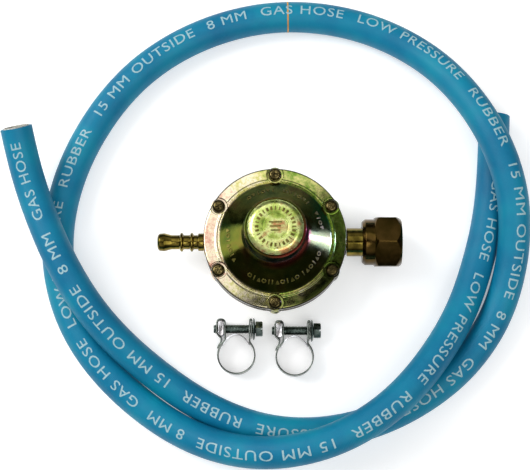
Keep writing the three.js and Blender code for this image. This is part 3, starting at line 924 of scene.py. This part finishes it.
def make_body():
    bowl = lathe("casing_shell", [
        (0, 0),
        (15, 0, 0.6),
        (18, 1, 1.5),
        (26, 7, 4),
        (28.6, 12, 3),
        (28.6, BODY_FLANGE_Z[0], 0.8),
        (FLANGE_R, BODY_FLANGE_Z[0], 0.7),
        (FLANGE_R, BODY_FLANGE_Z[1], 0.4),
        (CHAMBER_R, BODY_FLANGE_Z[1], 0.4),
        (CHAMBER_R, 12.5, 2),
        (23.2, 8.4, 2),
        (17, 3.5, 2),
        (0, 3.5),
    ], 128)
    added = []
    removed = []
    for angle in SCREW_ANGLES:
        top = BODY_FLANGE_Z[1] - 0.05
        lobe = [(0, 11), (2.4, 11, 0.8), (LOBE_R, 14, 0.8), (LOBE_R, top, 0.3), (0, top)]
        added.append(at_screw(lathe("lobe", lobe, 32), angle))
        removed.append(at_screw(rod("hole", SCREW_HOLE_R, 9, BODY_FLANGE_Z[1] + 1), angle))
        rib = box("rib", (24.5, -0.9, 6.5), (29.2, 0.9, 16.8), 0.4)
        added.append(turned_about_z(rib, angle + math.pi / FLANGE_SCREWS))
    for side in (-1, 1):
        boss = [(side * 20.8, 0), (side * 20.8, 6.2), (side * FLANGE_R, 6.2, 0.5), (side * FLANGE_R, 0)]
        above = box("above", (-40, -7, BODY_FLANGE_Z[1] - 0.05), (40, 7, 30))
        added.append(cut(lathe("boss", boss, 48, along_x=True), above))
        removed.append(port_rod("bore", PORT_BORE_R, side * 15, side * 40))
        added.append(box("post", (9.2, side * 4.4 - 1.2, 3), (13.2, side * 4.4 + 1.2, 17.6)))
    combine(bowl, added, "UNION")
    cut(bowl, *removed)
    shade(bowl, 32)
    piece(bowl, "regulator", CASTING, "casting", "body_casing")


def dome_point(share):
    """Radius and height part way up the dome, from 0 at its foot to 1 at the turret."""
    return [low + (high - low) * share for low, high in zip(DOME_LOW, DOME_TOP)]


DOME_SLOPE = math.atan2(DOME_TOP[1] - DOME_LOW[1], DOME_LOW[0] - DOME_TOP[0])


def on_dome(obj, share, angle):
    """Lays a mark made about the origin, with Y up the slope, on the dome."""
    radius, height = dome_point(share)
    lean = Matrix.Rotation(DOME_SLOPE, 4, "X")
    place = Matrix.Translation(Vector((0, -radius, height)) * MM)
    return moved(obj, Matrix.Rotation(angle + math.pi / 2, 4, "Z") @ place @ lean)


MARKS_AT = 0.42  # share of the way up the dome
MARK_STEP = 6.2  # degrees


def dome_marks():
    """Groups of raised bars, dots and rings cast on the dome where a maker's lettering would be."""
    marks = []
    groups = [(192, 7), (250, 5), (282, 6), (322, 6), (20, 4), (62, 6), (108, 6)]
    for middle, count in groups:
        for k in range(count):
            angle = math.radians(middle + MARK_STEP * (k - (count - 1) / 2))
            kind = (k + count) % 3
            if kind == 0:
                mark = box("mark", (-0.32, -1.3, -0.4), (0.32, 1.3, 0.22), 0.12)
            elif kind == 1:
                mark = extrude("mark", [(-1, -1.2, 0.3), (1, -1.2, 0.3), (0, 1.3, 0.3)], -0.4, 0.2)
            else:
                mark = lathe("mark", [(0.55, -0.4), (1.15, -0.4), (1.15, 0.22, 0.1), (0.55, 0.22, 0.1)], 20)
            marks.append(on_dome(mark, MARKS_AT, angle))
    return marks


def make_cover():
    cover = lathe("cover_shell", [
        (FLANGE_R, COVER_Z, 0.35),
        (FLANGE_R, COVER_FLANGE_TOP, 0.8),
        (28.3, COVER_FLANGE_TOP + 0.1, 0.3),
        (27.9, 25.5, 0.35),
        (27.1, 25.5, 0.35),
        (26.7, 25.1, 0.2),
        (*DOME_LOW, 0.5),
        (*DOME_TOP, 1.4),
        (TURRET_R, 36.5, 0.8),
        (TURRET_R, TURRET_TOP, 0.35),
        (CAP_R + 0.3, TURRET_TOP, 0.25),
        (CAP_R + 0.3, TURRET_TOP - 2.2),
        (11.5, TURRET_TOP - 2.2),
        (11.5, 34),
        (18.8, 30.2),
        (23, 26),
        (CHAMBER_R, 23.4),
        (CHAMBER_R, COVER_Z),
    ], 160)
    pockets = []
    lobes = []
    holes = []
    for angle in SCREW_ANGLES:
        pocket_mouth = (POCKET_R + 0.25, COVER_FLANGE_TOP + 1.2)
        pocket = [(0, POCKET_Z), (POCKET_R, POCKET_Z, 0.3), pocket_mouth, (0, 27)]
        lobe = [(0, COVER_Z), (LOBE_R, COVER_Z, 0.3), (LOBE_R, POCKET_Z - 0.05, 0.3), (0, POCKET_Z - 0.05)]
        pockets.append(at_screw(lathe("pocket", pocket, 40), angle))
        lobes.append(at_screw(lathe("lobe", lobe, 36), angle))
        holes.append(at_screw(rod("hole", SCREW_HOLE_R, COVER_Z - 1, POCKET_Z + 1), angle))
    vent = moved(rod("vent", 0.9, 10, 16), Matrix.Rotation(-math.pi / 2, 4, "X"))
    holes.append(shifted(vent, z=38.5))
    cut(cover, *pockets)
    combine(cover, lobes, "UNION")
    cut(cover, *holes)
    shade(cover, 32)
    piece(cover, "regulator", CASTING, "casting", "cover")
    marks = piece(joined("cover_marks", dome_marks()), "regulator", WORN_MARKS, "casting")
    return [cover, marks]


CAP_TICKS = 28


def make_cap():
    cap = lathe("cap_disc", [
        (0, CAP_TOP - 0.1),
        (5.3, CAP_TOP - 0.1),
        (5.5, CAP_TOP - 0.3, 0.1),
        (5.9, CAP_TOP - 0.3, 0.1),
        (6.1, CAP_TOP - 0.1, 0.1),
        (10.8, CAP_TOP - 0.15, 2),
        (CAP_R, CAP_TOP - 1.6, 1.2),
        (CAP_R, TURRET_TOP - 1.9),
        (11.2, TURRET_TOP - 1.9),
        (11.2, TURRET_TOP - 4),
        (9.7, TURRET_TOP - 4),
        (9.7, TURRET_TOP - 1),
        (0, TURRET_TOP - 1),
    ], 128, smooth=25)
    piece(cap, "regulator", CAP_ZINC, "cap_zinc", "seal_cap")
    marks = []
    for k in range(CAP_TICKS):
        angle = math.tau * k / CAP_TICKS
        half = 0.55 if k % 3 else 0.3
        mark = box("mark", (-half, 7.6, CAP_TOP - 0.5), (half, 9.4, CAP_TOP + 0.02), 0.1)
        marks.append(turned_about_z(mark, angle))
    for k in range(3):
        half = 3 - 0.4 * k
        low = 1.7 - 1.9 * k
        marks.append(box("mark", (-half, low, CAP_TOP - 0.5), (half, low + 0.7, CAP_TOP + 0.06), 0.1))
    piece(joined("cap_marks", marks), "regulator", WORN_MARKS, "cap_zinc")


def make_flange_screws():
    for number, angle in enumerate(SCREW_ANGLES, 1):
        screw = lathe(f"flange_screw_{number}_pan", [
            (0, 17),
            (1.5, 17, 0.4),
            (1.5, POCKET_Z + 0.3),
            (3, POCKET_Z + 0.3, 0.15),
            (3, POCKET_Z + 1.5, 0.9),
            (2, POCKET_Z + 2.35, 1.2),
            (0, POCKET_Z + 2.4),
        ], 40)
        cross = [box("arm", (-1.9, -0.32, POCKET_Z + 1.2), (1.9, 0.32, POCKET_Z + 4)) for _ in range(2)]
        turned_about_z(cross[1], math.pi / 2)
        cut(screw, *cross)
        soften(screw, 0.08, 1, 40)
        turned_about_z(screw, 5 * angle)
        at_screw(screw, angle)
        piece(screw, "regulator", SCREW_BRONZE, "screw_bronze", f"flange_screw_{number}")


SPRING_COIL_R = 7
SPRING_WIRE_R = 0.8
SPRING_TURNS = 6


def make_spring():
    """The calibration spring: a fixed coil of wire over the height of the CAD spring's box."""
    low, high = (corner.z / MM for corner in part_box("calibration_spring"))
    first, last = low + SPRING_WIRE_R, high - SPRING_WIRE_R
    steps, sides = 30 * SPRING_TURNS, 10
    rise = math.atan2(last - first, math.tau * SPRING_COIL_R * SPRING_TURNS)
    points = []
    for i in range(steps + 1):
        share = i / steps
        turn = math.tau * SPRING_TURNS * share
        outwards = Vector((math.cos(turn), math.sin(turn), 0))
        around = Vector((-math.sin(turn), math.cos(turn), 0))
        across = UP * math.cos(rise) - around * math.sin(rise)
        middle = outwards * SPRING_COIL_R + UP * (first + (last - first) * share)
        for k in range(sides):
            angle = math.tau * k / sides
            points.append(middle + SPRING_WIRE_R * (math.cos(angle) * outwards + math.sin(angle) * across))
    coil = build("spring_coil", points, capped_faces(steps + 1, sides))
    spring = piece(coil, "regulator", BRIGHT_STEEL, "bright_steel", "calibration_spring")
    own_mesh(spring)


# ---- regulator outlet, inlet and union nut


def make_barb():
    stem = 3.4
    outline = [(-55.4, 2.4), (-55.4, 3.2, 0.3), (-54.6, 4.1, 0.6), (-52.3, 4.35, 1.5), (-48.8, stem, 0.8)]
    for x in (-44.1, -39.3):
        outline += [(x - 1, stem, 0.25), (x - 0.35, 4.5, 0.3), (x + 0.35, 4.5, 0.3), (x + 1, stem, 0.25)]
    outline += [(-36.5, stem, 0.2), (-36.1, 4.2, 0.3), (-33.8, 4.2, 0.3), (-33.8, 4), (-26, 4), (-26, 2.4)]
    barb = lathe("barb_turned", outline, 56, along_x=True)
    piece(barb, "regulator", TURNED_ZINC, "turned_zinc", "hose_barb")


def make_stem():
    stem = lathe("stem_turned", [
        (20.5, 4),
        (33.8, 4),
        (33.8, STEM_R, 0.4),
        (44.1, STEM_R, 0.2),
        (44.1, 9, 0.4),
        (47.2, 9, 0.3),
        (47.2, 5),
        (50, 5),
        (50.4, 4.6, 0.2),
        (50.4, 3.6),
        (44, 3.6),
        (44, 2.6),
        (20.5, 2.6),
    ], 72, along_x=True)
    piece(stem, "regulator", TURNED_ZINC, "turned_zinc", "inlet_stem")
    seal_outline = [(47.5, 5.3, 0.2), (47.5, 8.7, 0.4), (50, 8.7, 0.5), (50, 5.3, 0.4)]
    seal = lathe("seal_ring", seal_outline, 64, along_x=True)
    piece(seal, "regulator", RUBBER_BLACK, "rubber_black", "inlet_seal")
    gauze_outline = [(44.3, 0), (44.3, 3.2), (49.3, 3.2, 0.4), (49.8, 2.2, 0.6), (49.8, 0)]
    gauze = lathe("filter_gauze", gauze_outline, 32, along_x=True)
    piece(gauze, "regulator", INNER_BRASS, "inner_brass", "inlet_filter")


def make_nut():
    chamfer_r = NUT_ACROSS_FLATS / math.sqrt(3)
    prism = moved(extrude("nut_hex", hexagon(NUT_ACROSS_FLATS, 0.5), NUT_HEX_X, NUT_X[1]), Z_TO_X)
    lift = Matrix.Translation((0, 0, PORT_Z * MM))
    moved(prism, lift)
    limit = lathe("limit", [
        (NUT_HEX_X - 1, 0),
        (NUT_HEX_X - 1, 11.3),
        (NUT_HEX_X, 11.5),
        (NUT_HEX_X + 1.9, chamfer_r + 0.2),
        (NUT_X[1] - 3.2, chamfer_r + 0.2),
        (NUT_X[1], 10.9),
        (NUT_X[1], 0),
    ], 128, along_x=True)
    collar = lathe("collar", [
        (NUT_X[0], 0),
        (NUT_X[0], 9.7, 0.3),
        (NUT_X[0] + 1.5, NUT_COLLAR_R, 0.5),
        (NUT_HEX_X + 0.6, NUT_COLLAR_R),
        (NUT_HEX_X + 0.6, 0),
    ], 96, along_x=True)
    combine(prism, [limit], "INTERSECT")
    combine(prism, [collar], "UNION")
    bore = port_rod("bore", STEM_R + 0.3, NUT_X[0] - 1, NUT_X[0] + 4, 64)
    seat = lathe("seat", [
        (NUT_X[0] + 2.8, 0),
        (NUT_X[0] + 2.8, NUT_THREAD_R),
        (NUT_X[1] - 0.5, NUT_THREAD_R),
        (NUT_X[1] + 0.5, NUT_THREAD_R + 1),
        (NUT_X[1] + 0.5, 0),
    ], 80, along_x=True)
    cut(prism, bore, seat)
    groove_radii = (NUT_THREAD_R - 0.3, NUT_THREAD_R + 0.75)
    groove_x = (NUT_X[0] + 5, NUT_X[1] + 3)
    grooves = thread("grooves", *groove_radii, NUT_THREAD_PITCH, *groove_x, 72, hand=-1)
    cut(prism, moved(grooves, lift))
    soften(prism, 0.16, 2, 28, 40)
    about_axis = lift @ Matrix.Rotation(NUT_TURN, 4, "X") @ lift.inverted()
    moved(prism, about_axis)
    piece(prism, "swivel_nut", NUT_BRASS, "nut_brass", "union_nut")


# ---- hose clamps, made in their own frame


def clamp_place(number):
    """The clamp's own frame: the ring's axis is Z, its centre is the origin, and the screw lies along X."""
    low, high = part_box(f"clamp_{number}_screw")
    turn = Matrix.Rotation(CLAMP_TILT, 4, "X")
    screw_middle = Vector((sum(CLAMP_SCREW_X) / 2, CLAMP_SCREW_Y, 0)) * MM
    return Matrix.Translation((low + high) / 2 - turn @ screw_middle) @ turn


def on_screw_axis(obj):
    """Moves what was made about the port axis to the clamp's screw."""
    return shifted(obj, y=CLAMP_SCREW_Y, z=-PORT_Z)


def arc(radius, start, end, steps=52):
    """Points on an arc, with angles in degrees from +X."""
    angles = [math.radians(start + (end - start) * i / steps) for i in range(steps + 1)]
    return [(radius * math.cos(a), radius * math.sin(a)) for a in angles]


def strip(name, line, thickness, width):
    """A strip of constant thickness whose middle follows a line in X and Y, with rounded long edges."""
    points = rounded(line, 5)
    edge = 0.3 * thickness
    half_t, half_w = thickness / 2, width / 2
    corners = [(-half_t, -half_w), (half_t, -half_w), (half_t, half_w), (-half_t, half_w)]
    section = rounded([(*corner, edge) for corner in corners], 2)
    rows = []
    for i, here in enumerate(points):
        ahead = (points[min(i + 1, len(points) - 1)] - points[max(i - 1, 0)]).normalized()
        normal = Vector((-ahead.y, ahead.x))
        rows += [(*(here + normal * s.x), s.y) for s in section]
    return build(name, rows, capped_faces(len(points), len(section)), smooth=40)


def make_band(number, place):
    """One strip from beside the nut, over it, round the ring and into the doubled ear at the screw's head."""
    left, right = NUT_POCKET_X[0] + BAND_T / 2, NUT_POCKET_X[1] - BAND_T / 2
    top = EAR_TOP - BAND_T / 2
    ear_in, ear_out = EAR_X[0] + BAND_T / 2, EAR_X[1] - BAND_T / 2
    line = [
        *arc(BAND_R + BAND_T + 0.05, 160, 143, 5),
        (-7, 7.9, 0.8),
        (left, 10.2, 1.6),
        (left, top, 1.6),
        (right, top, 1.6),
        (right, 6.93, 1),
        *arc(BAND_R, 134, 394),
        (ear_in, 6.29, 1.5),
        (ear_in, top, 0.45),
        (ear_out, top, 0.45),
        (ear_out, 8.2),
    ]
    band = strip(f"clamp_{number}_strap", line, BAND_T, BAND_WIDTH)
    cut(band, on_screw_axis(port_rod("hole", CLAMP_SCREW_R + 0.35, -14, 14)))
    shade(band, 40)
    band.data.materials.clear()
    band.data.materials.append(STRAP_STEEL)
    moved(band, place)
    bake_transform(band)
    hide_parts(f"clamp_{number}_band")


def tongue_line():
    """The loose tongue's line: it closes the ring under the screw and arches up until it nearly touches."""
    ring_r = BAND_R - BAND_T / 2 - 0.55
    rise = CLAMP_SCREW_Y - CLAMP_SCREW_R - 0.55 - ring_r
    line = arc(ring_r, 38, 146)
    return [(x, y + rise * math.sin(math.pi * i / (len(line) - 1))) for i, (x, y) in enumerate(line)]


def make_clamp(number):
    place = clamp_place(number)
    clamp = f"clamp_{number}"
    make_band(number, place)

    tongue = strip(f"{clamp}_tongue", tongue_line(), 0.5, BAND_WIDTH - 1.4)
    piece(moved(tongue, place), clamp, BRIGHT_STEEL, "bright_steel", f"{clamp}_bridge")

    wall = BAND_T + 0.3
    x0, x1 = NUT_POCKET_X[0] + wall, NUT_POCKET_X[1] - wall
    outline = [(x0, 9, 1), (x1, 9, 1), (x1, EAR_TOP - wall, 1), (x0, EAR_TOP - wall, 1)]
    block = extrude(f"{clamp}_block", outline, -BAND_WIDTH / 2 + 0.1, BAND_WIDTH / 2 - 0.1)
    cut(block, on_screw_axis(port_rod("hole", CLAMP_SCREW_R + 0.25, -14, 0)))
    soften(block, 0.2, 2, 40)
    piece(moved(block, place), f"{clamp}_trunnion", BRIGHT_STEEL, "bright_steel", f"{clamp}_nut")

    face = EAR_X[1] + 0.3
    hole_r = CLAMP_SCREW_R + 0.3
    washer = lathe(f"{clamp}_flange", [
        (face, hole_r),
        (face, 5.2, 0.2),
        (face + 0.35, 5.3, 0.15),
        (face + 0.9, 4.3, 0.2),
        (face + 0.9, hole_r),
    ], 56, along_x=True)
    moved(on_screw_axis(washer), place)
    piece(washer, clamp, GREEN_STEEL, "green_steel", f"{clamp}_washer")

    head_x = EAR_X[1] + 1.5
    tip, end = CLAMP_SCREW_X
    radii = (CLAMP_SCREW_R - 0.32, CLAMP_SCREW_R)
    screw = thread(f"{clamp}_bolt_turned", *radii, CLAMP_SCREW_PITCH, tip, head_x + 0.5, 32)
    head = moved(extrude("head", hexagon(CLAMP_HEAD_ACROSS_FLATS, 0.25), head_x, end), Z_TO_X)
    crown_outline = [(head_x - 1, 0), (head_x - 1, 4.4), (end - 0.7, 4.4), (end, 3.3), (end, 0)]
    crown = lathe("crown", crown_outline, 64, along_x=True)
    combine(head, [shifted(crown, z=-PORT_Z)], "INTERSECT")
    slot = box("slot", (end - 1, -0.45, -5), (end + 1, 0.45, 5))
    cut(head, slot)
    soften(head, 0.12, 2, 30)
    combine(screw, [head], "UNION")
    shade(screw, 38)
    moved(shifted(screw, y=CLAMP_SCREW_Y), place)
    piece(screw, f"{clamp}_bolt", GREEN_STEEL, "green_steel", f"{clamp}_screw")


# ---- the inner pieces that the CAD makes


def finish_inner_nodes():
    """Procedural finishes for the CAD nodes that nothing replaces."""
    finishes = {
        "valve_orifice": INNER_BRASS,
        "valve_holder": INNER_BRASS,
        "valve_pad": RUBBER_BLACK,
        "lever": BRIGHT_STEEL,
        "lever_pin": BRIGHT_STEEL,
        "diaphragm": RUBBER_BLACK,
        "diaphragm_plate": BRIGHT_STEEL,
        "diaphragm_stud": INNER_BRASS,
        "spring_adjuster": ADJUSTER,
    }
    for name, material in finishes.items():
        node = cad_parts[name]
        node.data.materials.clear()
        node.data.materials.append(material)


make_body()
streak_dome(make_cover())
make_cap()
make_flange_screws()
make_spring()
make_barb()
make_stem()
make_nut()
for clamp_number in (1, 2):
    make_clamp(clamp_number)
finish_inner_nodes()
